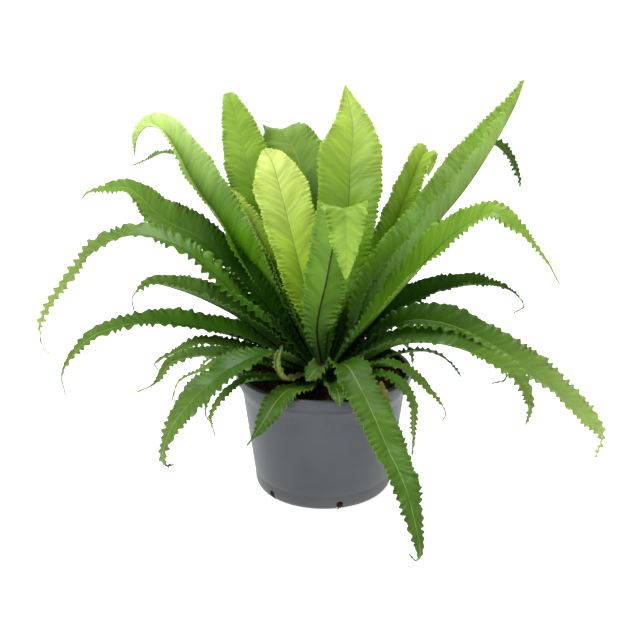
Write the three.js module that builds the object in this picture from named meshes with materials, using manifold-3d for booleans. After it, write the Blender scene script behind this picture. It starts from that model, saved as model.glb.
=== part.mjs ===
// A potted birds nest fern: crisped fronds in a rosette on one short crown, in the
// soil of a plain nursery pot. Millimetres, +Z up, the origin at the middle of the
// pot's underside. +X is the plant's right, +Y is behind it.

import * as THREE from "three";
import { mergeVertices } from "three/addons/utils/BufferGeometryUtils.js";
import Module from "manifold-3d";

const wasm = await Module();
wasm.setup();

// Driving sizes of the pot

const POT_HEIGHT = 170;
const RIM_RADIUS = 120; // outside of the rolled rim
const RIM_BAND = 13; // height of the rim's band
const RIM_RADIAL = 5; // how far the band stands out from the wall
const WALL = 1.6; // moulded plastic wall
const FLOOR = 2.4; // thickness of the pot's floor
const FOOT_RADIUS = 85; // flat underside
const CORNER = 10; // radius of the corner between underside and wall
const WALL_TOP_RADIUS = 111; // outside of the wall under the shoulder
const SHOULDER_LOW = 138; // where the shoulder starts to widen
const SHOULDER_HIGH = 150;
const POT_SIDES = 72;

const NOTCHES = 6; // drainage notches around the foot
const NOTCH_WIDTH = 9;
const NOTCH_HEIGHT = 11;
const FIRST_NOTCH = -77; // heading of one notch, in degrees
const NOTCH_IN = 79; // the notch reaches inwards to this radius

// Driving sizes of the soil and the crown

const GAP = 0.3; // clear space between pieces that touch
const SOIL_LEVEL = 152;
const CROWN_RADIUS = 40; // the rootstock is a dome on the soil
const CROWN_HEIGHT = 38;
const ROOT_DEPTH = 4; // how far a frond starts inside the dome before it is trimmed

// Driving sizes that all fronds share

const STALK_WIDTH = 8.5; // where a frond leaves the crown
const TIP_WIDTH = 2;
const MIDRIB_THICK = 3; // at the stalk
const TIP_THICK = 1.6;
const STEP = 19; // distance between sections along a frond

const BRIGHT = { color: 0x9cc545, roughness: 0.42, metalness: 0 };
const MIDDLE = { color: 0x6c9a2e, roughness: 0.45, metalness: 0 };
const DARK = { color: 0x3f6b22, roughness: 0.48, metalness: 0 };
const WITHERED = { color: 0xa98a3c, roughness: 0.75, metalness: 0 };

// Each frond's midrib is a smooth line through the points of its arc. A point is
// [reach, height] or [reach, height, sideways]: reach is the distance from the pot's
// axis along the frond's heading, and sideways is measured to the left of it.
// heading: degrees, 0 to the right, 90 to the back, 180 to the left, 270 to the front.
// width: of the whole blade, laid flat, at its widest. full: the part of the length,
// from 0 at the crown to 1 at the tip, over which the blade keeps that width.
// fold: how far each half blade stands up from flat, in degrees, at crown and tip.
// taper: a larger first number keeps the far end blunt, a larger second draws it out.
// tip: width of a tip that ends bluntly. tail: part of the length, at the tip, that is
// as thin as a thread.
// roll: turn of the blade about its own midrib, in degrees, at crown and tip, which
// lifts its left edge where it is positive.

const FRONDS = [
  // left side, from the back round to the front
  { name: "frond_left_upper_broad", heading: 150, width: 78, tone: BRIGHT, full: [0.56, 0.68],
    fold: [52, 50], roll: [14, -28], taper: [1.2, 1.2],
    arc: [[60, 214], [105, 272], [155, 338], [185, 372], [218, 416], [257, 470], [287, 474],
      [306, 456], [312, 432]] },
  { name: "frond_left_hidden_tip", heading: 141, width: 24, tone: MIDDLE, full: [0.4, 0.6],
    arc: [[60, 202], [110, 268], [160, 338], [205, 396], [250, 424], [300, 430], [335, 417],
      [372, 403]] },
  { name: "frond_left_crinkled", heading: 147, width: 30, tone: BRIGHT, full: [0.4, 0.8],
    fold: [40, 30],
    arc: [[45, 230], [90, 315], [108, 340], [122, 362], [135, 382], [150, 397]] },
  { name: "frond_left_folded", heading: 168, width: 64, tone: DARK, full: [0.6, 0.68],
    fold: [32, 22], roll: [0, -35], taper: [0.75, 1],
    arc: [[50, 216], [87, 260], [141, 314], [174, 343], [208, 358], [234, 376], [251, 393],
      [270, 405], [305, 402], [328, 396], [337, 388]] },
  { name: "frond_left_long", heading: 188, width: 52, tone: BRIGHT, full: [0.3, 0.5],
    fold: [20, 8], roll: [0, -20], taper: [1.2, 1], tail: 0.04,
    arc: [[60, 219], [102, 260], [139, 301], [191, 348], [246, 364], [294, 346], [339, 298],
      [371, 247], [367, 212], [356, 208]] },
  { name: "frond_left_dark", heading: 196, width: 48, tone: DARK, full: [0.4, 0.55],
    fold: [20, 50], roll: [0, -26], tail: 0.1,
    arc: [[60, 202], [105, 243], [144, 271], [195, 298], [228, 307, -2], [250, 290, -10],
      [249, 267, -18]] },
  { name: "frond_left_low_arch", heading: 200, width: 48, tone: DARK, full: [0.2, 0.42],
    fold: [34, 22], roll: [0, -26], taper: [1.3, 1], tail: 0.06,
    arc: [[50, 186], [90, 213], [138, 235], [204, 256], [268, 262], [310, 250], [346, 209],
      [345, 179]] },
  { name: "frond_left_low_short", heading: 205, width: 26, tone: DARK, full: [0.3, 0.6],
    fold: [40, 20], roll: [0, -20], tail: 0.05,
    arc: [[60, 183], [95, 206], [144, 225], [176, 232], [204, 225], [235, 214], [231, 204]] },
  { name: "frond_left_brown_keel", heading: 212, width: 26, tone: MIDDLE, full: [0.45, 0.6],
    fold: [50, 30], roll: [-20, -20], tail: 0.06,
    arc: [[60, 175], [95, 193], [142, 213], [181, 223], [223, 222], [246, 200], [270, 194]] },
  { name: "frond_left_narrow", heading: 219, width: 17, tone: DARK, full: [0.4, 0.6],
    tail: 0.08,
    arc: [[60, 183], [110, 214], [157, 219], [196, 214], [228, 208], [239, 186]] },

  // front, from the left round to the right
  { name: "frond_front_left_broad", heading: 228, width: 48, tone: BRIGHT, full: [0.38, 0.55],
    fold: [30, 0],
    arc: [[60, 193], [90, 210], [123, 221], [173, 218], [229, 200], [269, 172], [284, 145],
      [283, 130], [268, 124]] },
  { name: "frond_front_left_small", heading: 209, width: 10, tone: BRIGHT, full: [0.4, 0.7],
    arc: [[60, 166], [100, 178], [142, 183], [163, 173, 6], [176, 156, 8], [180, 141, 12],
      [173, 130, 18]] },
  { name: "frond_front_left_dark", heading: 220, width: 20, tone: DARK, full: [0.4, 0.6],
    tail: 0.08,
    arc: [[60, 163], [92, 174], [131, 182], [158, 171, -6], [180, 146, -8], [180, 120, -2]] },
  { name: "frond_front_olive", heading: 256, width: 26, tone: MIDDLE, full: [0.4, 0.8],
    fold: [30, 15],
    arc: [[46, 188, 8], [60, 192, 7], [72, 190, 4], [84, 182, -2]] },
  { name: "frond_withered_upright", heading: 241, width: 14, tone: WITHERED,
    full: [0.5, 0.75], fold: [30, 30],
    arc: [[60, 177], [85, 181], [104, 188, -2], [116, 201, -3], [121, 216, -3], [120, 230],
      [114, 240, 4]] },
  { name: "frond_front_short", heading: 250, width: 34, tone: BRIGHT, full: [0.45, 0.6],
    fold: [10, 5], tail: 0.05,
    arc: [[60, 166], [85, 172], [112, 177, -10], [130, 167, -18], [143, 151, -26],
      [151, 137, -33], [159, 117, -45]] },
  { name: "frond_front_ruffled_bit", heading: 279, width: 22, tone: BRIGHT, full: [0.4, 0.8],
    fold: [20, 10],
    arc: [[60, 171], [85, 177], [105, 180], [119, 178], [128, 168]] },
  { name: "frond_front_big", heading: 292, width: 50, tone: MIDDLE, full: [0.2, 0.45],
    fold: [15, 5], tail: 0.05,
    arc: [[50, 190], [82, 200], [115, 190], [160, 167], [201, 141], [251, 114], [282, 76],
      [294, 50], [286, 34], [268, 32]] },
  { name: "frond_withered_front", heading: 303, width: 20, tone: WITHERED,
    full: [0.3, 0.8],
    arc: [[60, 168], [85, 178], [108, 181], [126, 180], [137, 172], [145, 152]] },
  { name: "frond_front_right_hanging", heading: 311, width: 20, tone: DARK,
    full: [0.3, 0.5],
    arc: [[50, 171], [80, 182], [119, 192], [147, 188], [167, 167], [171, 123], [170, 101]] },
  { name: "frond_front_right_olive", heading: 325, width: 28, tone: MIDDLE, full: [0.25, 0.5],
    fold: [30, 5], tail: 0.1,
    arc: [[45, 175], [71, 186], [125, 195], [167, 174], [189, 150], [185, 138]] },
  { name: "frond_centre_folded_tip", heading: 268, width: 60, tone: MIDDLE,
    full: [0.35, 0.7], fold: [30, 8],
    arc: [[24, 235, -8], [36, 305, 5], [44, 346, 12], [50, 375, 18], [60, 403, 24],
      [74, 405, 28], [82, 372, 30], [86, 321, 30]] },

  // right side, from the front round to the back
  { name: "frond_right_bright_broad", heading: 335, width: 72, tone: BRIGHT,
    full: [0.4, 0.55], fold: [35, 5], roll: [25, 28], taper: [1.2, 1.6], tail: 0.04,
    arc: [[40, 209], [77, 254], [122, 311], [160, 359], [192, 389], [226, 408], [261, 388],
      [290, 358], [310, 328]] },
  { name: "frond_right_keeled", heading: 341, width: 43, tone: MIDDLE, full: [0.25, 0.6],
    fold: [28, 6], roll: [5, 5],
    arc: [[60, 187], [105, 215], [157, 223], [211, 213], [257, 190], [279, 149], [277, 124]] },
  { name: "frond_right_long_broad", heading: 351, width: 58, tone: MIDDLE, full: [0.35, 0.72],
    fold: [35, 5], roll: [10, 20],
    arc: [[60, 206], [90, 231], [118, 243], [155, 242], [192, 231], [237, 208], [291, 176],
      [339, 136], [376, 97], [372, 61]] },
  { name: "frond_right_small", heading: 350, width: 14, tone: MIDDLE, full: [0.3, 0.7],
    arc: [[60, 176], [104, 196], [143, 201], [168, 190], [187, 168]] },
  { name: "frond_right_thin_curl", heading: 5, width: 13, tone: DARK, full: [0.3, 0.6],
    arc: [[60, 180], [130, 208], [200, 205], [240, 178], [254, 156], [255, 142], [236, 136]] },
  { name: "frond_right_tall", heading: 10, width: 90, tone: BRIGHT, full: [0.3, 0.68],
    fold: [58, 52], roll: [14, -5],
    arc: [[50, 215], [84, 273], [137, 346], [187, 406], [222, 460], [251, 517], [261, 548]] },
  { name: "frond_right_dark_arch", heading: 16, width: 46, tone: DARK, full: [0.3, 0.5],
    fold: [46, 28], roll: [18, 22], tail: 0.1,
    arc: [[60, 207], [108, 244], [143, 257], [175, 265], [237, 267], [279, 252], [297, 229],
      [282, 221]] },
  { name: "frond_right_dried_tip", heading: 24, width: 12, tone: WITHERED,
    full: [0.3, 0.6],
    arc: [[60, 192], [85, 213], [110, 226], [130, 226], [141, 219]] },
  { name: "frond_right_drooping_tip", heading: 30, width: 30, tone: DARK, full: [0.3, 0.8],
    arc: [[60, 228], [120, 290], [180, 350], [230, 410], [268, 452], [300, 432, -4],
      [320, 398, -8], [323, 386, -8]] },
  { name: "frond_back_right_curled", heading: 55, width: 54, tone: BRIGHT, full: [0.35, 0.75],
    fold: [54, 45], roll: [21, 21],
    arc: [[52, 210], [90, 256], [168, 319], [225, 388], [262, 424], [276, 418], [275, 388]] },

  // centre and back
  { name: "frond_centre_tall", heading: 80, width: 92, tone: BRIGHT, full: [0.5, 0.72],
    fold: [35, 12], taper: [1.3, 1.15],
    arc: [[24, 222, -4], [38, 250, -9], [50, 279, -14], [65, 332, -18], [80, 385, -21],
      [96, 428, -20], [120, 474, -20], [150, 531, -4]] },
  { name: "frond_centre_pale", heading: 125, width: 78, tone: BRIGHT, full: [0.45, 0.8],
    fold: [30, 12], roll: [0, -25], tip: 6,
    arc: [[38, 250], [50, 280], [80, 345], [102, 392], [124, 432], [144, 447]] },
  { name: "frond_back_left_tall", heading: 131, width: 60, tone: MIDDLE, full: [0.64, 0.74],
    fold: [30, 5], roll: [3, -32], taper: [1.6, 0.9], tip: 13,
    arc: [[58, 232], [90, 285], [125, 348], [148, 391], [170, 443], [184, 480], [203, 520]] },
  { name: "frond_back_dark", heading: 97, width: 80, tone: DARK, full: [0.4, 0.85],
    fold: [25, 10], taper: [2.4, 0.7],
    arc: [[45, 235], [75, 301], [110, 365, 3], [140, 406, 12], [165, 442, 24],
      [187, 466, 42], [200, 462, 58]] },
  { name: "frond_far_1", heading: 66, width: 46, tone: MIDDLE, full: [0.3, 0.6],
    arc: [[62, 200], [110, 240], [165, 262], [215, 255], [255, 225], [275, 185]] },
  { name: "frond_far_2", heading: 80, width: 50, tone: MIDDLE, full: [0.3, 0.6],
    arc: [[60, 211], [110, 261], [168, 290], [230, 286], [282, 250], [316, 195], [326, 152]] },
  { name: "frond_far_3", heading: 94, width: 44, tone: DARK, full: [0.3, 0.6],
    arc: [[62, 196], [115, 232], [180, 250], [245, 235], [290, 195], [305, 150]] },
  { name: "frond_far_4", heading: 109, width: 50, tone: MIDDLE, full: [0.3, 0.6],
    arc: [[60, 205], [110, 250], [165, 281], [222, 286], [268, 252], [296, 202], [300, 166]] },
  { name: "frond_far_5", heading: 122, width: 42, tone: DARK, full: [0.35, 0.6],
    arc: [[62, 193], [110, 228], [160, 248], [205, 243], [235, 216], [248, 180]] },
  { name: "frond_far_6", heading: 137, width: 36, tone: MIDDLE, full: [0.3, 0.6],
    arc: [[62, 183], [100, 200], [140, 206], [170, 193], [187, 165]] },
  { name: "frond_far_7", heading: 47, width: 36, tone: DARK, full: [0.3, 0.6],
    arc: [[62, 188], [100, 205], [140, 208], [168, 192], [184, 165]] },
  { name: "frond_far_8", heading: 158, width: 28, tone: DARK, full: [0.3, 0.6],
    arc: [[62, 186], [92, 198], [120, 198], [140, 184]] },
  { name: "frond_far_9", heading: 78, width: 60, tone: BRIGHT, full: [0.35, 0.6],
    arc: [[50, 223], [92, 288], [138, 338], [190, 360], [240, 347], [272, 310], [284, 280]] },
  { name: "frond_far_10", heading: 106, width: 56, tone: BRIGHT, full: [0.35, 0.6],
    arc: [[50, 214], [92, 272], [136, 318], [184, 338], [228, 324], [256, 292], [266, 266]] },
  { name: "frond_far_low_1", heading: 34, width: 24, tone: DARK, full: [0.5, 0.65],
    arc: [[60, 169], [92, 180], [126, 180], [148, 164], [158, 138]] },
  { name: "frond_far_low_2", heading: 58, width: 30, tone: MIDDLE, full: [0.5, 0.65],
    arc: [[60, 169], [95, 181], [132, 181], [160, 160], [172, 128], [171, 104]] },
  { name: "frond_far_low_3", heading: 75, width: 26, tone: DARK, full: [0.5, 0.65],
    arc: [[60, 170], [94, 182], [130, 184], [158, 168], [176, 140]] },
  { name: "frond_far_low_4", heading: 89, width: 32, tone: BRIGHT, full: [0.5, 0.65],
    arc: [[60, 169], [96, 181], [134, 180], [160, 156], [170, 120], [167, 92]] },
  { name: "frond_far_low_5", heading: 104, width: 26, tone: DARK, full: [0.5, 0.65],
    arc: [[60, 170], [94, 181], [128, 181], [152, 163], [166, 134]] },
  { name: "frond_far_low_6", heading: 122, width: 30, tone: MIDDLE, full: [0.5, 0.65],
    arc: [[60, 169], [95, 181], [132, 180], [158, 157], [168, 124], [165, 98]] },
  { name: "frond_far_low_7", heading: 146, width: 26, tone: DARK, full: [0.5, 0.65],
    arc: [[60, 169], [92, 179], [126, 178], [146, 160], [155, 134]] },
  { name: "frond_far_low_8", heading: 178, width: 22, tone: MIDDLE, full: [0.5, 0.65],
    arc: [[60, 170], [94, 184], [130, 188], [160, 176], [178, 152]] },
];

// Turning three.js geometry into solids and back

function toSolid(geometry) {
  geometry.deleteAttribute("normal");
  geometry.deleteAttribute("uv");
  const merged = mergeVertices(geometry, 1e-4);
  return new wasm.Manifold(new wasm.Mesh({
    numProp: 3,
    vertProperties: new Float32Array(merged.attributes.position.array),
    triVerts: new Uint32Array(merged.index.array),
  }));
}

function toGeometry(solid) {
  const mesh = solid.getMesh();
  const geometry = new THREE.BufferGeometry();
  geometry.setAttribute("position", new THREE.BufferAttribute(mesh.vertProperties, 3));
  geometry.setIndex(new THREE.BufferAttribute(mesh.triVerts, 1));
  geometry.computeVertexNormals();
  return geometry;
}

function addPiece(group, name, geometry, finish) {
  const mesh = new THREE.Mesh(geometry, new THREE.MeshStandardMaterial(finish));
  mesh.name = name;
  group.add(mesh);
}

// A closed body of revolution about +Z from [radius, height] points, listed upwards
// along the outside and back down along the inside.
function revolve(points, sides) {
  const profile = points.map(([radius, height]) => new THREE.Vector2(radius, height));
  return new THREE.LatheGeometry(profile, sides).rotateX(Math.PI / 2);
}

// Points of the quarter circle between the underside and the wall
function cornerArc(centreRadius, centreHeight, radius) {
  const points = [];
  for (let k = 0; k <= 3; k += 1) {
    const angle = (-90 + 30 * k) * THREE.MathUtils.DEG2RAD;
    points.push([centreRadius + radius * Math.cos(angle), centreHeight + radius * Math.sin(angle)]);
  }
  return points;
}

// The pot: a thin tapering wall, a shoulder and a rolled band at the rim

function potOutline() {
  const bandLow = POT_HEIGHT - RIM_BAND;
  return [
    [0, 0],
    ...cornerArc(FOOT_RADIUS, CORNER, CORNER),
    [WALL_TOP_RADIUS, SHOULDER_LOW],
    [RIM_RADIUS - RIM_RADIAL, SHOULDER_HIGH],
    [RIM_RADIUS - RIM_RADIAL, bandLow],
    [RIM_RADIUS - 1, bandLow],
    [RIM_RADIUS, bandLow + 1],
    [RIM_RADIUS, POT_HEIGHT - 1],
    [RIM_RADIUS - 1, POT_HEIGHT],
  ];
}

function potInside() {
  return [
    [RIM_RADIUS - RIM_RADIAL - WALL, POT_HEIGHT],
    [RIM_RADIUS - RIM_RADIAL - WALL, SHOULDER_HIGH + 1],
    [WALL_TOP_RADIUS - WALL, SHOULDER_LOW],
    ...cornerArc(FOOT_RADIUS, CORNER, CORNER - WALL).reverse(),
    [FOOT_RADIUS, FLOOR],
    [0, FLOOR],
  ].filter(([, height]) => height >= FLOOR);
}

// One notch cutter: an upright slot with a round top, lying along its heading
function notchCutter(heading) {
  const half = NOTCH_WIDTH / 2;
  const outline = new THREE.Shape();
  outline.moveTo(-half, -1);
  outline.lineTo(half, -1);
  outline.lineTo(half, NOTCH_HEIGHT - half);
  outline.absarc(0, NOTCH_HEIGHT - half, half, 0, Math.PI, false);
  const depth = RIM_RADIUS - NOTCH_IN;
  const slot = new THREE.ExtrudeGeometry(outline, { depth, bevelEnabled: false, curveSegments: 8 });
  slot.rotateX(Math.PI / 2).rotateZ(Math.PI / 2);
  slot.translate(NOTCH_IN, 0, 0);
  slot.rotateZ(heading * THREE.MathUtils.DEG2RAD);
  return toSolid(slot);
}

function makePot() {
  let pot = toSolid(revolve([...potOutline(), ...potInside()], POT_SIDES));
  for (let k = 0; k < NOTCHES; k += 1) {
    pot = pot.subtract(notchCutter(FIRST_NOTCH + (360 / NOTCHES) * k));
  }
  return toGeometry(pot);
}

// The soil fills the pot up to SOIL_LEVEL and keeps the gap to its wall

function soilRadius(height) {
  const low = FOOT_RADIUS + CORNER - WALL - GAP;
  const high = WALL_TOP_RADIUS - WALL - GAP;
  return low + ((high - low) * (height - CORNER)) / (SHOULDER_LOW - CORNER);
}

function makeSoil() {
  const bottom = FLOOR + GAP;
  return revolve([
    [0, bottom],
    ...cornerArc(FOOT_RADIUS, CORNER, CORNER - WALL - GAP).filter(([, h]) => h > bottom),
    [soilRadius(SHOULDER_LOW), SHOULDER_LOW],
    [soilRadius(SHOULDER_LOW), SOIL_LEVEL],
    [0, SOIL_LEVEL],
  ], POT_SIDES);
}

// The crown is a dome of rootstock that stands on the soil

function crownDome(grow) {
  const points = [[0, SOIL_LEVEL + GAP - grow], [CROWN_RADIUS + grow, SOIL_LEVEL + GAP - grow]];
  for (let angle = 15; angle < 90; angle += 15) {
    const turn = angle * THREE.MathUtils.DEG2RAD;
    points.push([
      (CROWN_RADIUS + grow) * Math.cos(turn),
      SOIL_LEVEL + GAP + (CROWN_HEIGHT + grow) * Math.sin(turn),
    ]);
  }
  points.push([0, SOIL_LEVEL + GAP + CROWN_HEIGHT + grow]);
  return revolve(points, 36);
}

// One frond: a strap with a raised midrib, folded along it and swept along its arc

function arcPoint([reach, height, sideways = 0], heading) {
  const turn = heading * THREE.MathUtils.DEG2RAD;
  return new THREE.Vector3(
    reach * Math.cos(turn) - sideways * Math.sin(turn),
    reach * Math.sin(turn) + sideways * Math.cos(turn),
    height,
  );
}

function midribCurve(frond) {
  const heart = new THREE.Vector3(0, 0, SOIL_LEVEL);
  const points = frond.arc.map((point) => arcPoint(point, frond.heading));
  const outwards = points[0].clone().sub(heart).normalize();
  const root = heart.clone().addScaledVector(outwards, CROWN_HEIGHT - ROOT_DEPTH);
  return new THREE.CatmullRomCurve3([root, ...points], false, "centripetal");
}

// Half the width of the flat blade: it widens from the stalk, keeps its width over
// the frond's full stretch and then narrows in a long curve to the tip.
function halfWidth(frond, along) {
  const [start, end] = frond.full;
  if (along < start) {
    const t = along / start;
    return (STALK_WIDTH + (frond.width - STALK_WIDTH) * t * t * (3 - 2 * t)) / 2;
  }
  const [blunt, thin] = frond.taper ?? [1.6, 1];
  const tip = frond.tip ?? TIP_WIDTH;
  const t = THREE.MathUtils.clamp((along - end) / (1 - end - (frond.tail ?? 0)), 0, 1);
  return (tip + (frond.width - tip) * (1 - t ** blunt) ** thin) / 2;
}

function mix([first, last], along) {
  return first + (last - first) * along;
}

function frondGeometry(frond) {
  const curve = midribCurve(frond);
  const sections = Math.max(8, Math.round(curve.getLength() / STEP));
  const turn = frond.heading * THREE.MathUtils.DEG2RAD;
  const across = new THREE.Vector3(-Math.sin(turn), Math.cos(turn), 0);
  const positions = [];
  for (let k = 0; k <= sections; k += 1) {
    const along = k / sections;
    const centre = curve.getPointAt(along);
    const tangent = curve.getTangentAt(along);
    const side = across.clone().addScaledVector(tangent, -across.dot(tangent)).normalize();
    const roll = mix(frond.roll ?? [0, 0], along) * THREE.MathUtils.DEG2RAD;
    side.applyAxisAngle(tangent, roll);
    const upper = new THREE.Vector3().crossVectors(tangent, side);
    const fold = mix(frond.fold ?? [35, 20], along) * THREE.MathUtils.DEG2RAD;
    const half = halfWidth(frond, along);
    const thick = mix([MIDRIB_THICK, TIP_THICK], along) / 2;
    const out = half * Math.cos(fold);
    const rise = half * Math.sin(fold);
    for (const [sideways, upwards] of [[out, rise], [0, thick], [-out, rise], [0, -thick]]) {
      const corner = centre.clone().addScaledVector(side, sideways).addScaledVector(upper, upwards);
      positions.push(corner.x, corner.y, corner.z);
    }
  }
  const faces = [];
  for (let k = 0; k < sections; k += 1) {
    for (let c = 0; c < 4; c += 1) {
      const a = 4 * k + c;
      const b = 4 * k + ((c + 1) % 4);
      faces.push(a, b, a + 4, b, b + 4, a + 4);
    }
  }
  const last = 4 * sections;
  faces.push(0, 3, 1, 1, 3, 2, last, last + 1, last + 3, last + 1, last + 2, last + 3);
  const geometry = new THREE.BufferGeometry();
  geometry.setAttribute("position", new THREE.Float32BufferAttribute(positions, 3));
  geometry.setIndex(faces);
  return geometry;
}

// The whole plant in its pot

const fern = new THREE.Group();
addPiece(fern, "nursery_pot", makePot(), { color: 0x5f656b, roughness: 0.45, metalness: 0 });
addPiece(fern, "potting_soil", makeSoil(), { color: 0x5a3a26, roughness: 0.95, metalness: 0 });
addPiece(fern, "crown", crownDome(0), { color: 0x4a3320, roughness: 0.9, metalness: 0 });

const crownRoom = toSolid(crownDome(GAP));
for (const frond of FRONDS) {
  const blade = toSolid(frondGeometry(frond)).subtract(crownRoom);
  addPiece(fern, frond.name, toGeometry(blade), frond.tone);
}

export default fern;
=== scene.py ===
# %% [markdown]
# # A potted birds nest fern
#
# The real plant is a rosette of long strap fronds with crimped margins. They all grow
# from one short, scaly crown, which stands in peaty soil in a grey nursery pot. Each
# frond grew as one piece, so each is one mesh here. All sizes are in millimetres until
# a mesh is made, because that is how a plant or a pot is measured by hand.

# %% Load the fixed frame
import math
from functools import partial

import bmesh
import bpy
import numpy as np
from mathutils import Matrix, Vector, noise


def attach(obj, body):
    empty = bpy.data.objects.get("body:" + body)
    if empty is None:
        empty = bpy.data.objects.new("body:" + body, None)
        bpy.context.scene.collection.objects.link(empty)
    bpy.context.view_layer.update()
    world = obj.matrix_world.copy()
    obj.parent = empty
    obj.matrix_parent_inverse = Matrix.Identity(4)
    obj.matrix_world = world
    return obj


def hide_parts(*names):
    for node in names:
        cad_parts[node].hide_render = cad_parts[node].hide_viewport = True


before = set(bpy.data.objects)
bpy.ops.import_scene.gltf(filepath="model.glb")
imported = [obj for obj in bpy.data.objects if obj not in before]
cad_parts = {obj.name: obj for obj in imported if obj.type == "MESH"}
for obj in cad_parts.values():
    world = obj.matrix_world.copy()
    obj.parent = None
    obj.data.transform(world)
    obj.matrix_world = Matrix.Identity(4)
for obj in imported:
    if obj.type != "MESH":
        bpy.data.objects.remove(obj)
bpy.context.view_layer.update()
MM = 0.001


def place_object(name, data):
    """An object with this mesh, lamp or camera, linked into the scene."""
    item = bpy.data.objects.new(name, data)
    bpy.context.collection.objects.link(item)
    return item


# %% [markdown]
# ## Camera
#
# The picture was taken from a little above the plant, from about 1.3 m away. A camera
# at that distance, tilted down by 19.4 degrees, gives the same view of the pot's rim
# (a flat ellipse) and of its foot. A nearer camera would make the front fronds too big.

# %% Place the camera
camera_data = bpy.data.cameras.new("plant_camera")
camera_data.lens = 55.8
camera_data.sensor_width = 36.0
camera = place_object("plant_camera", camera_data)
camera.location = (-0.005, -1.260, 0.681)
LOOKS_DOWN = 19.4  # degrees
camera.rotation_euler = (math.radians(90 - LOOKS_DOWN), 0.0, 0.0)
bpy.context.scene.camera = camera
print("camera at", tuple(round(value, 3) for value in camera.location))

# %% [markdown]
# ## Colours and nodes
#
# Colours are picked as sRGB hex values, the way a screen shows them, but the renderer
# counts in linear light. One function turns the one into the other. A second one adds
# any shader node with its settings and its links, so that a material reads as a list.

# %% Helpers for every material
def linear(hex_colour):
    """RGBA in linear light from a hex colour such as "#6c9a2e"."""
    values = [int(hex_colour[i : i + 2], 16) / 255 for i in (1, 3, 5)]
    return [v / 12.92 if v <= 0.04045 else ((v + 0.055) / 1.055) ** 2.4 for v in values] + [1.0]


def add_node(tree, kind, inputs=None, **settings):
    """Add one shader node with its settings. inputs: input name or number -> a value,
    the output socket that feeds it, or the node whose first output does."""
    node = tree.nodes.new("ShaderNode" + kind)
    for key, value in settings.items():
        setattr(node, key, value)
    for key, value in (inputs or {}).items():
        if isinstance(value, bpy.types.Node):
            value = value.outputs[0]
        if isinstance(value, bpy.types.NodeSocket):
            tree.links.new(value, node.inputs[key])
        else:
            node.inputs[key].default_value = value
    return node


def new_material(name):
    """An empty node material, and the function above for its own node tree."""
    material = bpy.data.materials.new(name)
    material.use_nodes = True
    material.node_tree.nodes.clear()
    return material, partial(add_node, material.node_tree)


def set_ramp(node, stops):
    """Give a colour ramp its stops: (position, hex colour)."""
    ramp = node.color_ramp
    while len(ramp.elements) < len(stops):
        ramp.elements.new(0.5)
    for element, (position, colour) in zip(ramp.elements, stops):
        element.position, element.color = position, linear(colour)
    return node


# %% [markdown]
# ## Floor and light
#
# A studio sweep for plants is plain, pale and brightly lit, so that it almost blows out
# to white. Big soft boxes give the long soft highlights on the fronds: a large one high
# on the left, a weaker one on the right and one overhead and behind, which lights the
# thin fronds from above. The pale floor throws light back up under the leaves.

# %% Make the floor, the world and the soft boxes
floor_material, add = new_material("matt_white_paint")
grit = add("TexNoise", {"Scale": 9.0, "Detail": 3.0})
shade = set_ramp(add("ValToRGB", {0: grit}), [(0.3, "#efefee"), (0.7, "#f5f5f4")])
paint = add("BsdfPrincipled", {"Base Color": shade, "Roughness": 0.8,
    "Emission Color": (1, 1, 1, 1), "Emission Strength": 0.76})
add("OutputMaterial", {"Surface": paint})

floor_mesh = bpy.data.meshes.new("studio_floor")
FLOOR_REACH = 60.0
floor_mesh.from_pydata([(x * FLOOR_REACH, y * FLOOR_REACH, 0)
                        for x, y in ((-1, -1), (1, -1), (1, 1), (-1, 1))], [], [(0, 1, 2, 3)])
floor_mesh.materials.append(floor_material)
place_object("studio_floor", floor_mesh)

world = bpy.data.worlds.new("studio_world")
world.use_nodes = True
sky = world.node_tree.nodes["Background"]
sky.inputs["Color"].default_value = (1.0, 1.0, 1.0, 1.0)
sky_place = add_node(world.node_tree, "TexCoord").outputs["Generated"]
up_share = add_node(world.node_tree, "SeparateXYZ", {0: sky_place})
sky_strength = add_node(world.node_tree, "MapRange", {"Value": up_share.outputs["Z"],
    "From Min": 0.0, "From Max": 0.12, "To Min": 0.7, "To Max": 0.3})
world.node_tree.links.new(sky_strength.outputs[0], sky.inputs["Strength"])
bpy.context.scene.world = world
bpy.context.scene.view_settings.view_transform = "Standard"


def soft_box(name, place, size, watts):
    """A square area light at a place, turned to the middle of the plant."""
    data = bpy.data.lights.new(name, "AREA")
    data.size, data.energy = size, watts
    lamp = place_object(name, data)
    lamp.location = place
    aim = Vector((0, 0, 0.25)) - Vector(place)
    lamp.rotation_euler = aim.to_track_quat("-Z", "Y").to_euler()


soft_box("key_box", (-1.5, -1.3, 2.1), 1.3, 47)
soft_box("fill_box", (1.9, -1.2, 1.6), 1.2, 9)
soft_box("top_box", (0.3, 0.8, 2.2), 1.6, 42)
print("3 soft boxes and a floor", 2 * FLOOR_REACH, "m wide")

# %% [markdown]
# ## Turning profiles and grids into meshes
#
# A pot is a body of revolution, so its wall is drawn once as a line of (radius, height)
# points and spun around the axis. Blender's Screw modifier could do that, but a few
# lines of code give full control over where the points lie.

# %% Mesh helpers
def make_object(name, points, faces, material):
    """A smooth mesh object from points in millimetres. It is linked, rides on the root
    body and has one material."""
    mesh = bpy.data.meshes.new(name)
    mesh.from_pydata((np.asarray(points, float) * MM).tolist(), [], faces)
    mesh.polygons.foreach_set("use_smooth", np.ones(len(mesh.polygons), bool))
    mesh.materials.append(material)
    piece = place_object(name, mesh)
    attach(piece, "root")
    return piece


def turned(reach, sideways, turn):
    """x and y of a place this far out and this far to the left of a heading."""
    return (reach * math.cos(turn) - sideways * math.sin(turn),
            reach * math.sin(turn) + sideways * math.cos(turn))


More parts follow.
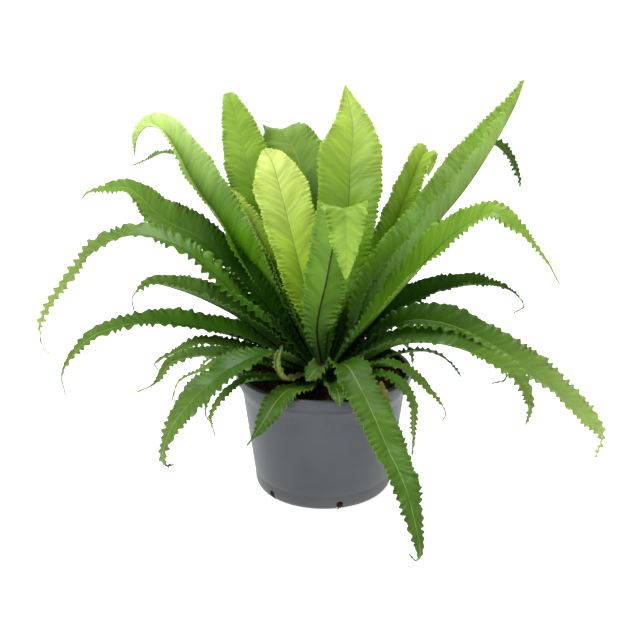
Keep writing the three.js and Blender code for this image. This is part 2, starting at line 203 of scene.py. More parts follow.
def spin(profile, sides):
    """Points and faces of a closed line of (radius, height) turned around the Z axis.
    A point on the axis is made once."""
    points, rings = [], []
    for radius, height in profile:
        if radius < 1e-6:
            rings.append([len(points)] * sides)
            points.append((0.0, 0.0, height))
        else:
            rings.append(list(range(len(points), len(points) + sides)))
            points += [(*turned(radius, 0, 2 * math.pi * k / sides), height)
                       for k in range(sides)]
    faces = []
    for low, high in zip(rings, rings[1:] + rings[:1]):
        for k in range(sides):
            m = (k + 1) % sides
            corners = list(dict.fromkeys((low[k], low[m], high[m], high[k])))
            if len(corners) > 2:
                faces.append(corners)
    return points, faces


def fillet(corners, steps=5):
    """Round the corners of a line. Each corner is (radius, height, fillet radius)."""
    line = []
    for index, (x, y, bend) in enumerate(corners):
        here = np.array((x, y))
        if bend == 0 or index in (0, len(corners) - 1):
            line.append((x, y))
            continue
        back = np.array(corners[index - 1][:2]) - here
        ahead = np.array(corners[index + 1][:2]) - here
        back_length, ahead_length = np.linalg.norm(back), np.linalg.norm(ahead)
        back, ahead = back / back_length, ahead / ahead_length
        half = math.acos(np.clip(back @ ahead, -1, 1)) / 2
        cut = min(bend / math.tan(half), 0.49 * back_length, 0.49 * ahead_length)
        for t in np.linspace(0, 1, steps):
            line.append(tuple(here + back * cut * (1 - t) ** 2 + ahead * cut * t**2))
    return line


# %% [markdown]
# ## The nursery pot
#
# Nursery pots are thermoformed from recycled polypropylene: one thin satin shell with a
# rolled rim, a shoulder that keeps stacked pots from jamming, and drainage notches at
# the foot. The wall's line gets small fillets, because no moulded edge is sharp and each
# rounded edge catches a line of light. The notches are cut with a Boolean modifier,
# which is the quickest way to a clean hole through a curved wall.

# %% Polypropylene, formed and slightly scuffed
def polypropylene(name):
    """Satin grey plastic: a soft gloss, faint rings left by the mould, a little dust."""
    material, add = new_material(name)
    place = add("TexCoord").outputs["Object"]
    # mould rings: about 1.5 mm apart, as streaks that run around the wall
    rings_map = add("Mapping", {"Vector": place, "Scale": (14.0, 14.0, 650.0)})
    rings = add("TexNoise", {"Vector": rings_map, "Scale": 1.0, "Detail": 2.0})
    cloud = add("TexNoise", {"Vector": place, "Scale": 16.0, "Detail": 4.0, "Roughness": 0.6})
    grain = add("TexNoise", {"Vector": place, "Scale": 1400.0, "Detail": 2.0})
    tint = set_ramp(add("ValToRGB", {0: cloud}), [(0.3, "#3a3d43"), (0.5, "#3f4349"),
        (0.75, "#464a4f")])
    # dust gathers near the foot
    apart = add("SeparateXYZ", {0: place})
    low = add("MapRange", {"Value": apart.outputs["Z"], "From Min": 0.035, "From Max": 0.0,
        "To Min": 0.0, "To Max": 0.35})
    dust = add("Math", {0: low, 1: cloud}, operation="MULTIPLY")
    colour = add("Mix", {"Factor": dust, 6: tint, 7: linear("#7c756b")}, data_type="RGBA")
    rough = add("MapRange", {"Value": cloud, "From Min": 0.3, "From Max": 0.7, "To Min": 0.36,
        "To Max": 0.5})
    height = add("Math", {0: grain, 1: 0.35, 2: rings}, operation="MULTIPLY_ADD")
    bump = add("Bump", {"Height": height, "Strength": 0.25, "Distance": 0.0003})
    shader = add("BsdfPrincipled", {"Base Color": colour.outputs[2], "Roughness": rough,
        "Normal": bump, "IOR": 1.49})
    add("OutputMaterial", {"Surface": shader})
    return material


# %% Spin the pot's wall and cut its notches
POT_HEIGHT, RIM_RADIUS, RIM_BAND, RIM_RADIAL = 170, 120, 13, 5
WALL, FLOOR, FOOT_RADIUS, CORNER = 1.6, 2.4, 85, 10
WALL_TOP_RADIUS, SHOULDER_LOW, SHOULDER_HIGH = 111, 138, 150
NOTCHES, NOTCH_WIDTH, NOTCH_HEIGHT, FIRST_NOTCH, NOTCH_IN = 6, 9, 14, -77, 79
POT_SIDES, NOTCH_ROUNDING = 180, 13


def wall_radius(height):
    """Outside radius of the tapered wall at a height."""
    share = (height - CORNER) / (SHOULDER_LOW - CORNER)
    return FOOT_RADIUS + CORNER + (WALL_TOP_RADIUS - FOOT_RADIUS - CORNER) * share


shoulder = RIM_RADIUS - RIM_RADIAL
pot_profile = fillet([
    (0, 1.2, 0), (FOOT_RADIUS - 12, 1.2, 1), (FOOT_RADIUS - 9, 0, 1),
    (FOOT_RADIUS + CORNER, 0, CORNER),
    (wall_radius(20), 20, 0), (wall_radius(21.5) - 0.4, 21.5, 0.6), (wall_radius(23), 23, 0),
    (wall_radius(80), 80, 0),
    (WALL_TOP_RADIUS, SHOULDER_LOW, 6), (shoulder, SHOULDER_HIGH, 4),
    (shoulder, POT_HEIGHT - RIM_BAND, 1), (RIM_RADIUS, POT_HEIGHT - RIM_BAND, 1.4),
    (RIM_RADIUS, POT_HEIGHT, 2.2), (shoulder - WALL, POT_HEIGHT, 1.6),
    (shoulder - WALL, SHOULDER_HIGH + 1, 3), (WALL_TOP_RADIUS - WALL, SHOULDER_LOW, 4),
    (FOOT_RADIUS + CORNER - WALL, CORNER, 3), (FOOT_RADIUS, FLOOR, 3), (0, FLOOR + 1.2, 0),
])
points, faces = spin(pot_profile, POT_SIDES)
pot = make_object("pot_shell", points, faces, polypropylene("polypropylene_satin"))


def notch_cutter(heading):
    """An upright slot with a round top that lies along its heading."""
    half = NOTCH_WIDTH / 2
    arch = [(-half, -3), (half, -3)]
    arch += [(half * math.cos(t), NOTCH_HEIGHT - half + half * math.sin(t))
             for t in np.linspace(0, math.pi, NOTCH_ROUNDING)]
    points = [(*turned(reach, sideways, math.radians(heading)), up)
              for reach in (NOTCH_IN, RIM_RADIUS) for sideways, up in arch]
    count = len(arch)
    faces = [list(range(count))[::-1], list(range(count, 2 * count))]
    faces += [(k, (k + 1) % count, (k + 1) % count + count, k + count) for k in range(count)]
    mesh = bpy.data.meshes.new("notch_cutter")
    mesh.from_pydata([Vector(p) * MM for p in points], [], faces)
    return place_object("notch_cutter", mesh)


for k in range(NOTCHES):
    cutter = notch_cutter(FIRST_NOTCH + 360 / NOTCHES * k)
    cut = pot.modifiers.new("notch", "BOOLEAN")
    cut.operation, cut.object, cut.solver = "DIFFERENCE", cutter, "EXACT"
    seen = pot.evaluated_get(bpy.context.evaluated_depsgraph_get())
    cut_mesh = bpy.data.meshes.new_from_object(seen)
    pot.modifiers.clear()
    pot.data = cut_mesh
    bpy.data.objects.remove(cutter)
pot.data.name = "pot_shell"
pot.data.set_sharp_from_angle(angle=math.radians(50))
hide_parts("nursery_pot")
print("pot shell:", len(pot.data.polygons), "faces")

# %% [markdown]
# ## The potting soil
#
# Potting soil for ferns is peat with bark crumbs and coir fibre. A flat disc with a
# noise bump would look like felt from close by. So the plug gets a lumpy top, and crumbs
# and fibres are laid on it as real geometry in the same mesh, sized as they are sieved:
# 2 to 7 mm crumbs and 13 to 31 mm fibres.

# %% Peat with crumbs and coir
def peat(name):
    """Damp brown peat: dull, with red-brown coir, and nearly black where its bump sinks: painted
    shade in the hollows.
    """
    material, add = new_material(name)
    place = add("TexCoord").outputs["Object"]
    # crumb colour: patches of about 4 mm, and single grains of about 0.8 mm. The patches'
    # dark end lies where the bump is low, so it is also painted shade in the hollows.
    patch = add("TexNoise", {"Vector": place, "Scale": 240.0, "Detail": 5.0, "Roughness": 0.65})
    grain = add("TexVoronoi", {"Vector": place, "Scale": 1200.0})
    tint = set_ramp(add("ValToRGB", {0: patch}), [(0.3, "#2a1a10"), (0.48, "#4b3020"),
        (0.62, "#6d4630"), (0.78, "#93664a")])
    mixed = add("Mix", {0: 0.35, 6: tint, 7: grain.outputs["Color"]}, data_type="RGBA",
        blend_type="MULTIPLY")
    height = add("Math", {0: patch, 1: grain.outputs["Distance"]}, operation="ADD")
    bump = add("Bump", {"Height": height, "Strength": 0.7, "Distance": 0.0008})
    shader = add("BsdfPrincipled", {"Base Color": mixed.outputs[2], "Normal": bump,
        "Roughness": 0.92})
    add("OutputMaterial", {"Surface": shader})
    return material


# %% Build the plug, its crumbs and its fibres
SOIL_LEVEL, CLEAR, SOIL_SIDES = 152, 0.3, 144
CRUMBS, FIBRES, NOTCH_GRAINS, FIBRE_STEP = 900, 420, 150, 2.2
CRUMB_SIZE, NOTCH_CRUMB, FIBRE_THICK = (0.9, 2.2), (0.7, 1.3), (0.14, 0.32)  # half sizes
BIG_CRUMBS, BIGGER = 0.12, 1.6  # this share of the crumbs is this much bigger
soil_random = np.random.default_rng(7)
soil_radius = WALL_TOP_RADIUS - WALL - CLEAR


def soil_height(x, y):
    """Height of the lumpy soil top: swells of 25 mm and lumps of 7 mm, flat at its edge."""
    swell = noise.noise(Vector((x / 25, y / 25, 3.0)))
    lump = noise.fractal(Vector((x / 7, y / 7, 8.0)), 0.8, 2.0, 3)
    edge = min(1.0, (soil_radius - math.hypot(x, y)) / 6 + 0.2)
    return SOIL_LEVEL - 1.6 + (1.8 * swell + 1.3 * lump) * edge


plug_foot = FLOOR + CLEAR + 1.5
points, faces = spin([
    (0, plug_foot), (FOOT_RADIUS, plug_foot), (FOOT_RADIUS + CORNER - WALL - CLEAR, CORNER + 1),
    (soil_radius, SHOULDER_LOW), *((r, SOIL_LEVEL) for r in np.linspace(soil_radius, 0, 70)),
], SOIL_SIDES)
points = [(x, y, soil_height(x, y)) if z == SOIL_LEVEL else (x, y, z) for x, y, z in points]

ball = bmesh.new()
bmesh.ops.create_icosphere(ball, subdivisions=1, radius=1.0)
ball_points = np.array([v.co[:] for v in ball.verts])
ball_faces = [[v.index for v in face.verts] for face in ball.faces]
ball.free()


def lay_crumb(place, size):
    """One knobbly crumb, turned and stretched at random."""
    shape = ball_points * soil_random.uniform(0.5, 1.2, 3) * size
    shape *= soil_random.uniform(0.8, 1.2, (len(shape), 1))
    turn = soil_random.uniform(0, 2 * math.pi)
    c, s = math.cos(turn), math.sin(turn)
    shape = shape @ np.array(((c, s, 0), (-s, c, 0), (0, 0, 1)))
    start = len(points)
    points.extend(tuple(p + place) for p in shape)
    faces.extend([start + k for k in face] for face in ball_faces)


def lay_fibre(line, thick):
    """One fibre along a line of places, with a three-cornered section."""
    start = len(points)
    for k, (x, y, z) in enumerate(line):
        ahead = np.subtract(line[min(k + 1, len(line) - 1)], line[max(k - 1, 0)])
        length = max(math.hypot(ahead[0], ahead[1]), 0.01)
        side = np.array((-ahead[1], ahead[0])) / length * thick
        points.extend([(x + side[0], y + side[1], z - thick * 0.6),
                       (x - side[0], y - side[1], z - thick * 0.6), (x, y, z + thick)])
    for k in range(len(line) - 1):
        a = start + 3 * k
        faces.extend((a + i, a + (i + 1) % 3, a + (i + 1) % 3 + 3, a + i + 3) for i in range(3))
    faces.extend([(start + 2, start + 1, start), (a + 3, a + 4, a + 5)])


def soil_place(reach, inner):
    """A random place on the soil, evenly spread between two shares of a reach squared."""
    turn = soil_random.uniform(0, 2 * math.pi)
    return turned(reach * math.sqrt(soil_random.uniform(inner, 1)), 0, turn)


for _ in range(CRUMBS):
    x, y = soil_place(106, 0.12)
    size = soil_random.uniform(*CRUMB_SIZE)
    size *= BIGGER if soil_random.random() < BIG_CRUMBS else 1
    lay_crumb((x, y, soil_height(x, y) + 0.3 * size), size)

for _ in range(FIBRES):
    x, y = soil_place(102, 0.14)
    heading, bend = soil_random.uniform(0, 2 * math.pi), soil_random.uniform(-0.16, 0.16)
    lift, thick = soil_random.uniform(0.2, 1.6), soil_random.uniform(*FIBRE_THICK)
    steps = int(soil_random.integers(7, 16))
    line = []
    for k in range(steps):
        arch = lift * math.sin(math.pi * k / (steps - 1)) + 0.15
        line.append((x, y, soil_height(x, y) + thick + arch))
        heading += bend + soil_random.uniform(-0.12, 0.12)
        x, y = x + FIBRE_STEP * math.cos(heading), y + FIBRE_STEP * math.sin(heading)
        if math.hypot(x, y) > soil_radius - 3:
            x, y = x * 0.97, y * 0.97
    lay_fibre(line, thick)

# soil and coir show through each drainage notch
for k in range(NOTCHES):
    turn = math.radians(FIRST_NOTCH + 360 / NOTCHES * k)
    for grain in range(NOTCH_GRAINS):
        reach, sideways = soil_random.uniform(85, 93), soil_random.uniform(-3.4, 3.4)
        spot = np.array(turned(reach, sideways, turn))
        low = soil_random.uniform(1.2, 11.5)
        if grain % 2:
            lay_crumb((*spot, low), soil_random.uniform(*NOTCH_CRUMB))
        else:
            end = spot + turned(soil_random.uniform(-1, 3), soil_random.uniform(-2, 2), turn)
            lay_fibre([(*spot, low), (*(spot + end) / 2, low + soil_random.uniform(-0.5, 1.5)),
                       (*end, max(0.8, low + soil_random.uniform(-2, 2)))], 0.3)

soil = make_object("soil_plug", points, faces, peat("peat_and_coir"))
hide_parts("potting_soil")
print("soil:", len(faces), "faces with crumbs and fibres")

# %% [markdown]
# ## The crown
#
# The rootstock of such a fern is a short upright stump under narrow dark-brown scales,
# with the cut or rotted stalks of older fronds between them. Only a little of it shows
# between the frond bases, from above. A dome carries rings of thin pointed scales that
# overlap upwards like roof shingles.

# %% Papery brown scales
def rootstock(name):
    """Dry brown scales: matt and streaked lengthways. matt, streaked lengthways, paler at their
    worn tips.
    """
    material, add = new_material(name)
    place = add("TexCoord").outputs["Object"]
    streak_map = add("Mapping", {"Vector": place, "Scale": (900.0, 900.0, 160.0)})
    streak = add("TexNoise", {"Vector": streak_map, "Scale": 1.0, "Detail": 4.0})
    tint = set_ramp(add("ValToRGB", {0: streak}), [(0.3, "#0b0705"), (0.55, "#1b120b"),
        (0.78, "#332417")])
    bump = add("Bump", {"Height": streak, "Strength": 0.5, "Distance": 0.0004})
    shader = add("BsdfPrincipled", {"Base Color": tint, "Normal": bump, "Roughness": 0.8})
    add("OutputMaterial", {"Surface": shader})
    return material


# %% Lay the scales on the dome
CROWN_RADIUS, CROWN_HEIGHT, CROWN_FOOT, CROWN_SIDES = 34, 27, SOIL_LEVEL + CLEAR, 72
SCALE_DEPTH = 2.5  # from the scales' tips to the dome under them
SCALE_RINGS, RING_STEP = 9, 8  # degrees from ring to ring
SCALES_AROUND, LEAST_AROUND = 40, 6  # scales in a wide ring, and those that every ring has
SCALE_LENGTH, SCALE_WIDTH = (8, 13), (4.5, 6.5)
crown_random = np.random.default_rng(11)
dome = [(0, CROWN_FOOT - 2.5), (CROWN_RADIUS - 3, CROWN_FOOT - 2.5)]
for angle in range(0, 90, 6):
    turn = math.radians(angle)
    dome.append(((CROWN_RADIUS - SCALE_DEPTH) * math.cos(turn),
                 CROWN_FOOT + (CROWN_HEIGHT - SCALE_DEPTH) * math.sin(turn)))
points, faces = spin([*dome, (0, CROWN_FOOT + CROWN_HEIGHT - SCALE_DEPTH)], CROWN_SIDES)


def lay_scale(heading, angle, length, width):
    """One pointed scale on the dome, from a broad foot to a thin tip that stands off."""
    start, steps = len(points), 6
    for k in range(steps):
        t = k / (steps - 1)
        rise = math.radians(angle) + t * length / CROWN_RADIUS
        out = 0.94 + 0.035 * t + 0.02 * math.sin(math.pi * t)
        reach = CROWN_RADIUS * out * math.cos(rise)
        height = CROWN_FOOT + CROWN_HEIGHT * out * math.sin(rise)
        half = width / 2 * (1 - t**1.6) + 0.12
        thick = 0.55 * (1 - 0.7 * t)
        for sideways, up in ((-half, 0), (0, thick), (half, 0), (0, -0.35)):
            points.append((*turned(reach + up * math.cos(rise), sideways, heading),
                           height + up * math.sin(rise)))
    for k in range(steps - 1):
        a = start + 4 * k
        faces.extend((a + i, a + (i + 1) % 4, a + (i + 1) % 4 + 4, a + i + 4) for i in range(4))
    faces.extend([(start + 3, start + 2, start + 1, start), range(a + 4, a + 8)])


for ring in range(SCALE_RINGS):
    angle = 2 + ring * RING_STEP
    around = int(SCALES_AROUND * math.cos(math.radians(angle))) + LEAST_AROUND
    for k in range(around):
        place = k + 0.5 * (ring % 2) + crown_random.uniform(-0.2, 0.2)
        lay_scale(2 * math.pi * place / around, angle + crown_random.uniform(-2, 2),
                  crown_random.uniform(*SCALE_LENGTH), crown_random.uniform(*SCALE_WIDTH))

crown = make_object("crown_scales", points, faces, rootstock("dry_brown_scales"))
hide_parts("crown")
print("crown:", len(faces), "faces")

# %% [markdown]
# ## The fronds: one line for each midrib
#
# A frond grows along its midrib, so that line comes first. A few points give its arc,
# and a smooth line runs through them. Blender's own curve objects could be bevelled into
# a strap, but their section can't fold, ruffle and keep a thick rib at once. So each
# blade is swept in code: a station every 1 to 2 mm, and at each station a row of points
# from one margin over the midrib to the other.
#
# Young fronds in the middle are broad and finely crisped. Old ones arch over and are
# coarsely ruffled. So a frond's row also says how it folds, rolls and ruffles. All
# lengths are in millimetres.

# %% Note a frond down
BRIGHT, MIDDLE, DARK, WITHERED = "bright", "middle", "dark", "withered"
FRONDS = []


def grow(name, heading, width, tone, full, arc, **looks):
    """Note one frond down. heading: degrees, from 0 at the plant's right by 90 at its
    back. tone: its finish. full: between which shares of its length it is this wide.
    arc: reach and height of the midrib's points and, if given, how far sideways.
    looks: fold and roll in degrees at the stalk and at the tip, taper, tip and tail (the
    outline), crisp (the ruffles' pitch and height), frill (their depth in the outline),
    bulge (how much the blade swells), run (colours) and rib (1 for dark, 0 for pale)."""
    FRONDS.append(dict(name="frond_" + name, heading=heading, width=width, tone=tone,
                       full=full, arc=arc, **looks))


# %% Fronds on the left, from the back round to the front
grow("left_upper_broad", 150, 84, BRIGHT, (0.5, 0.68), [(60, 214), (105, 272), (155, 338),
     (185, 372), (218, 416), (257, 470), (287, 474), (306, 456), (312, 432)], fold=(54, 50),
     roll=(-14, -30), taper=(1.2, 1.2), crisp=(7, 1.6), run="bright", bulge=0.7)
grow("left_hidden_tip", 141, 24, MIDDLE, (0.4, 0.6), [(60, 202), (110, 268), (160, 338),
     (205, 396), (250, 424), (300, 430), (335, 417), (372, 403)], crisp=(8, 2), run="deep")
grow("left_crinkled", 147, 30, BRIGHT, (0.4, 0.8), [(45, 230), (90, 315), (108, 340), (122, 362),
     (135, 382), (150, 397)], fold=(40, 30), crisp=(6, 2.2), run="fresh")
grow("left_folded", 168, 66, DARK, (0.46, 0.68), [(50, 216), (87, 260), (141, 314), (174, 343),
     (208, 358), (234, 376), (251, 393), (270, 405), (305, 402), (328, 396), (337, 388)],
     fold=(22, 20), roll=(2, -38), taper=(0.75, 1), crisp=(8, 3), run="jade", frill=2.4,
     bulge=1.2)
grow("left_long", 188, 54, BRIGHT, (0.3, 0.5), [(60, 219), (102, 260), (139, 301), (191, 348),
     (246, 364), (294, 346), (339, 298), (371, 247), (367, 212), (356, 208)], fold=(22, 8),
     roll=(-4, -20), taper=(1.2, 1), tail=0.04, crisp=(12, 3.4), run="leaf")
grow("left_dark", 196, 54, DARK, (0.35, 0.55), [(60, 202), (105, 243), (144, 271), (195, 298),
     (228, 307, -2), (250, 290, -10), (249, 267, -18)], fold=(42, 48), roll=(-10, -24), tail=0.1,
     crisp=(9, 2.6))
grow("left_low_arch", 200, 48, DARK, (0.2, 0.42), [(50, 186), (90, 213), (138, 235), (204, 256),
     (268, 262), (310, 250), (346, 209), (345, 179)], fold=(42, 20), roll=(-6, -30),
     taper=(1.3, 1), tail=0.06, crisp=(11, 3))
grow("left_low_short", 205, 26, DARK, (0.3, 0.6), [(60, 183), (95, 206), (144, 225), (176, 232),
     (204, 225), (235, 214), (231, 204)], fold=(40, 20), roll=(0, -20), tail=0.05, crisp=(8, 2.8))
grow("left_brown_keel", 212, 26, MIDDLE, (0.45, 0.6), [(60, 175), (95, 193), (142, 213),
     (181, 223), (223, 222), (246, 200), (270, 194)], fold=(50, 30), roll=(-20, -20), tail=0.06,
     crisp=(8, 2.8), run="deep")
grow("left_narrow", 219, 17, DARK, (0.4, 0.6), [(60, 183), (110, 214), (157, 219), (196, 214),
     (228, 208), (239, 186)], tail=0.08, crisp=(8, 2))

# %% Fronds in front, from the left round to the right
grow("front_left_broad", 228, 48, BRIGHT, (0.38, 0.55), [(60, 193), (90, 210), (123, 221),
     (173, 218), (229, 200), (269, 172), (284, 145), (283, 130), (268, 124)], fold=(30, 0),
     crisp=(9, 2.8), run="deep")
grow("front_left_small", 209, 10, BRIGHT, (0.4, 0.7), [(60, 166), (100, 178), (142, 183),
     (163, 173, 6), (176, 156, 8), (180, 141, 12), (173, 130, 18)], crisp=(7, 2), run="green",
     frill=2.4)
grow("front_left_dark", 220, 20, DARK, (0.4, 0.6), [(60, 163), (92, 174), (131, 182),
     (158, 171, -6), (180, 146, -8), (180, 120, -2)], tail=0.08, crisp=(8, 2.2))
grow("front_olive", 256, 26, MIDDLE, (0.4, 0.8), [(46, 188, 8), (60, 192, 7), (72, 190, 4),
     (84, 182, -2)], fold=(30, 15), crisp=(7, 4.5), run="green", frill=3.4)
grow("withered_upright", 241, 14, WITHERED, (0.5, 0.75), [(60, 177), (85, 181), (104, 188, -2),
     (116, 201, -3), (121, 216, -3), (120, 230), (114, 240, 4)], fold=(30, 30), crisp=(8, 3),
     run="turning", frill=2.5)
grow("front_short", 250, 34, BRIGHT, (0.45, 0.6), [(60, 166), (85, 172), (112, 177, -10),
     (130, 167, -18), (143, 151, -26), (151, 137, -33), (159, 117, -45)], fold=(10, 5), tail=0.05,
     crisp=(7, 3), run="green", rib=0.5, frill=3)
grow("front_ruffled_bit", 279, 22, BRIGHT, (0.4, 0.8), [(60, 171), (85, 177), (105, 180),
     (119, 178), (128, 168)], fold=(20, 10), crisp=(6, 4.5), run="green", frill=3.4)
grow("front_big", 292, 50, MIDDLE, (0.2, 0.45), [(50, 190), (82, 200), (115, 190), (160, 167),
     (201, 141), (251, 114), (282, 76), (294, 50), (286, 34), (268, 32)], fold=(15, 5), tail=0.05,
     crisp=(9, 3.6), run="green", bulge=1.8, rib=0, frill=3)
grow("withered_front", 303, 20, WITHERED, (0.3, 0.8), [(60, 168), (85, 178), (108, 181),
     (126, 180), (137, 172), (145, 152)])
grow("front_right_hanging", 311, 20, DARK, (0.3, 0.5), [(50, 171), (80, 182), (119, 192),
     (147, 188), (167, 167), (171, 123), (170, 101)], crisp=(8, 2.6))
grow("front_right_olive", 325, 28, MIDDLE, (0.25, 0.5), [(45, 175), (71, 186), (125, 195),
     (167, 174), (189, 150), (185, 138)], fold=(30, 5), tail=0.1, crisp=(8, 2.4), run="moss")
grow("centre_folded_tip", 268, 60, MIDDLE, (0.35, 0.7), [(24, 235, -8), (36, 305, 5),
     (44, 346, 12), (50, 375, 18), (60, 403, 24), (74, 405, 28), (82, 372, 30), (86, 321, 30)],
     fold=(30, 8), crisp=(6.5, 3.8), run="mid", bulge=1.2, frill=3.6)

# %% Fronds on the right, from the front round to the back
grow("right_bright_broad", 335, 72, BRIGHT, (0.4, 0.55), [(40, 209), (77, 254), (122, 311),
     (160, 359), (192, 389), (226, 408), (261, 388), (290, 358), (310, 328)], fold=(35, 5),
     roll=(25, 28), taper=(1.2, 1.6), tail=0.04, crisp=(8, 2.8), bulge=1.2, frill=2)
grow("right_keeled", 341, 48, MIDDLE, (0.2, 0.6), [(60, 187), (105, 215), (157, 223), (211, 213),
     (257, 190), (279, 149), (277, 124)], fold=(44, 26), roll=(14, 16), crisp=(10, 2.8),
     run="moss")
grow("right_long_broad", 351, 58, MIDDLE, (0.35, 0.72), [(60, 206), (90, 231), (118, 243),
     (155, 242), (192, 231), (237, 208), (291, 176), (339, 136), (376, 97), (372, 61)],
     fold=(35, 5), roll=(10, 20), crisp=(11, 3.2), rib=0.3)
grow("right_small", 350, 14, MIDDLE, (0.3, 0.7), [(60, 176), (104, 196), (143, 201), (168, 190),
     (187, 168)], crisp=(8, 2), run="deep")
grow("right_thin_curl", 5, 13, DARK, (0.3, 0.6), [(60, 180), (130, 208), (200, 205), (240, 178),
     (254, 156), (255, 142), (236, 136)], crisp=(8, 1.6))
grow("right_tall", 10, 90, BRIGHT, (0.3, 0.68), [(50, 215), (84, 273), (137, 346), (187, 406),
     (222, 460), (251, 517), (261, 548)], fold=(58, 52), roll=(14, -5), crisp=(8, 2.8), bulge=1.3,
     frill=2)
grow("right_dark_arch", 16, 46, DARK, (0.3, 0.5), [(60, 207), (108, 244), (143, 257), (175, 265),
     (237, 267), (279, 252), (297, 229), (282, 221)], fold=(46, 28), roll=(18, 22), tail=0.1,
     crisp=(8, 2.8), run="dim", frill=2.4)
grow("right_dried_tip", 24, 12, WITHERED, (0.3, 0.6), [(60, 192), (85, 213), (110, 226),
     (130, 226), (141, 219)])
grow("right_drooping_tip", 30, 30, DARK, (0.3, 0.8), [(60, 228), (120, 290), (180, 350),
     (230, 410), (268, 452), (300, 432, -4), (320, 398, -8), (323, 386, -8)], crisp=(8, 2.8),
     run="dim", frill=2.4)
grow("back_right_curled", 55, 54, BRIGHT, (0.35, 0.75), [(52, 210), (90, 256), (168, 319),
     (225, 388), (262, 424), (276, 418), (275, 388)], fold=(54, 45), roll=(21, 21),
     crisp=(7, 2.8), run="fresh", frill=2.4)

# %% Fronds in the centre and behind it
grow("centre_tall", 80, 92, BRIGHT, (0.5, 0.72), [(24, 222, -4), (38, 250, -9), (50, 279, -14),
     (65, 332, -18), (80, 385, -21), (96, 428, -20), (120, 474, -20), (150, 531, -4)],
     fold=(35, 12), taper=(1.3, 1.15), crisp=(7, 2.4), run="fresh", bulge=1.8, frill=2.4)
grow("centre_pale", 125, 78, BRIGHT, (0.45, 0.8), [(38, 250), (50, 280), (80, 345), (102, 392),
     (124, 432), (144, 447)], fold=(30, 12), roll=(0, -25), tip=6, crisp=(5.5, 2.2), run="lime",
     bulge=2.4, frill=2.4, rib=0.6)
grow("back_left_tall", 131, 66, MIDDLE, (0.5, 0.74), [(58, 232), (90, 285), (125, 348),
     (148, 391), (170, 443), (184, 480), (203, 520)], fold=(30, 5), roll=(0, -35),
     taper=(1.6, 0.9), tip=13, crisp=(6.5, 2.4), run="mid", bulge=1.8, frill=2.4)
grow("back_dark", 97, 80, DARK, (0.4, 0.85), [(45, 235), (75, 301), (110, 365, 3), (140, 406, 12),
     (165, 442, 24), (187, 466, 42), (200, 462, 58)], fold=(25, -8), taper=(2.4, 0.7),
     crisp=(6.5, 2.4), run="sea", bulge=2.0, frill=2.4)

# %% [markdown]
# ## The far side
#
# The picture can't show the fronds behind the crown. But a rosette grows all the way
# round, so ten arching fronds and eight low ones fill the far side, with headings and
# lengths as uneven as those in front. They are wide over the middle of their length.

# %% Fronds on the far side
far_side = [
    (66, 46, MIDDLE, (0.3, 0.6), [(62, 200), (110, 240), (165, 262), (215, 255), (255, 225),
     (275, 185)]),
    (80, 50, MIDDLE, (0.3, 0.6), [(60, 211), (110, 261), (168, 290), (230, 286), (282, 250),
     (316, 195), (326, 152)]),
    (94, 44, DARK, (0.3, 0.6), [(62, 196), (115, 232), (180, 250), (245, 235), (290, 195),
     (305, 150)]),
    (109, 50, MIDDLE, (0.3, 0.6), [(60, 205), (110, 250), (165, 281), (222, 286), (268, 252),
     (296, 202), (300, 166)]),
    (122, 42, DARK, (0.35, 0.6), [(62, 193), (110, 228), (160, 248), (205, 243), (235, 216),
     (248, 180)]),
    (137, 36, MIDDLE, (0.3, 0.6), [(62, 183), (100, 200), (140, 206), (170, 193), (187, 165)]),
    (47, 36, DARK, (0.3, 0.6), [(62, 188), (100, 205), (140, 208), (168, 192), (184, 165)]),
    (158, 28, DARK, (0.3, 0.6), [(62, 186), (92, 198), (120, 198), (140, 184)]),
    (78, 60, BRIGHT, (0.35, 0.6), [(50, 223), (92, 288), (138, 338), (190, 360), (240, 347),
     (272, 310), (284, 280)]),
    (106, 56, BRIGHT, (0.35, 0.6), [(50, 214), (92, 272), (136, 318), (184, 338), (228, 324),
     (256, 292), (266, 266)]),
]
low_far_side = [
    (34, 24, DARK, [(60, 169), (92, 180), (126, 180), (148, 164), (158, 138)]),
    (58, 30, MIDDLE, [(60, 169), (95, 181), (132, 181), (160, 160), (172, 128), (171, 104)]),
    (75, 26, DARK, [(60, 170), (94, 182), (130, 184), (158, 168), (176, 140)]),
    (89, 32, BRIGHT, [(60, 169), (96, 181), (134, 180), (160, 156), (170, 120), (167, 92)]),
    (104, 26, DARK, [(60, 170), (94, 181), (128, 181), (152, 163), (166, 134)]),
    (122, 30, MIDDLE, [(60, 169), (95, 181), (132, 180), (158, 157), (168, 124), (165, 98)]),
    (146, 26, DARK, [(60, 169), (92, 179), (126, 178), (146, 160), (155, 134)]),
    (178, 22, MIDDLE, [(60, 170), (94, 184), (130, 188), (160, 176), (178, 152)]),
]
for number, (heading, width, tone, full, arc) in enumerate(far_side, 1):
    grow(f"far_{number}", heading, width, tone, full, arc)
for number, (heading, width, tone, arc) in enumerate(low_far_side, 1):
    grow(f"far_low_{number}", heading, width, tone, (0.5, 0.65), arc)
print(len(FRONDS), "fronds, widest", max(f["width"] for f in FRONDS), "mm")

# %% [markdown]
# ## From a few points to an outline
#
# A Catmull-Rom line goes through all its points and stays free of kinks, which a row of
# straight pieces doesn't. The blade's width is a rule along that line: it widens from
# the stalk, stays full, and narrows to the tip.

# %% Midrib line and blade width
STALK_WIDTH, TIP_WIDTH = 8.5, 2
ROOT_REACH = 20  # from the middle of the soil's top to a stalk's root


def arc_point(point, heading):
    """A point of an arc as x, y, z. point: reach, height and, if given, sideways."""
    reach, height, sideways = (*point, 0)[:3]
    return (*turned(reach, sideways, math.radians(heading)), height)


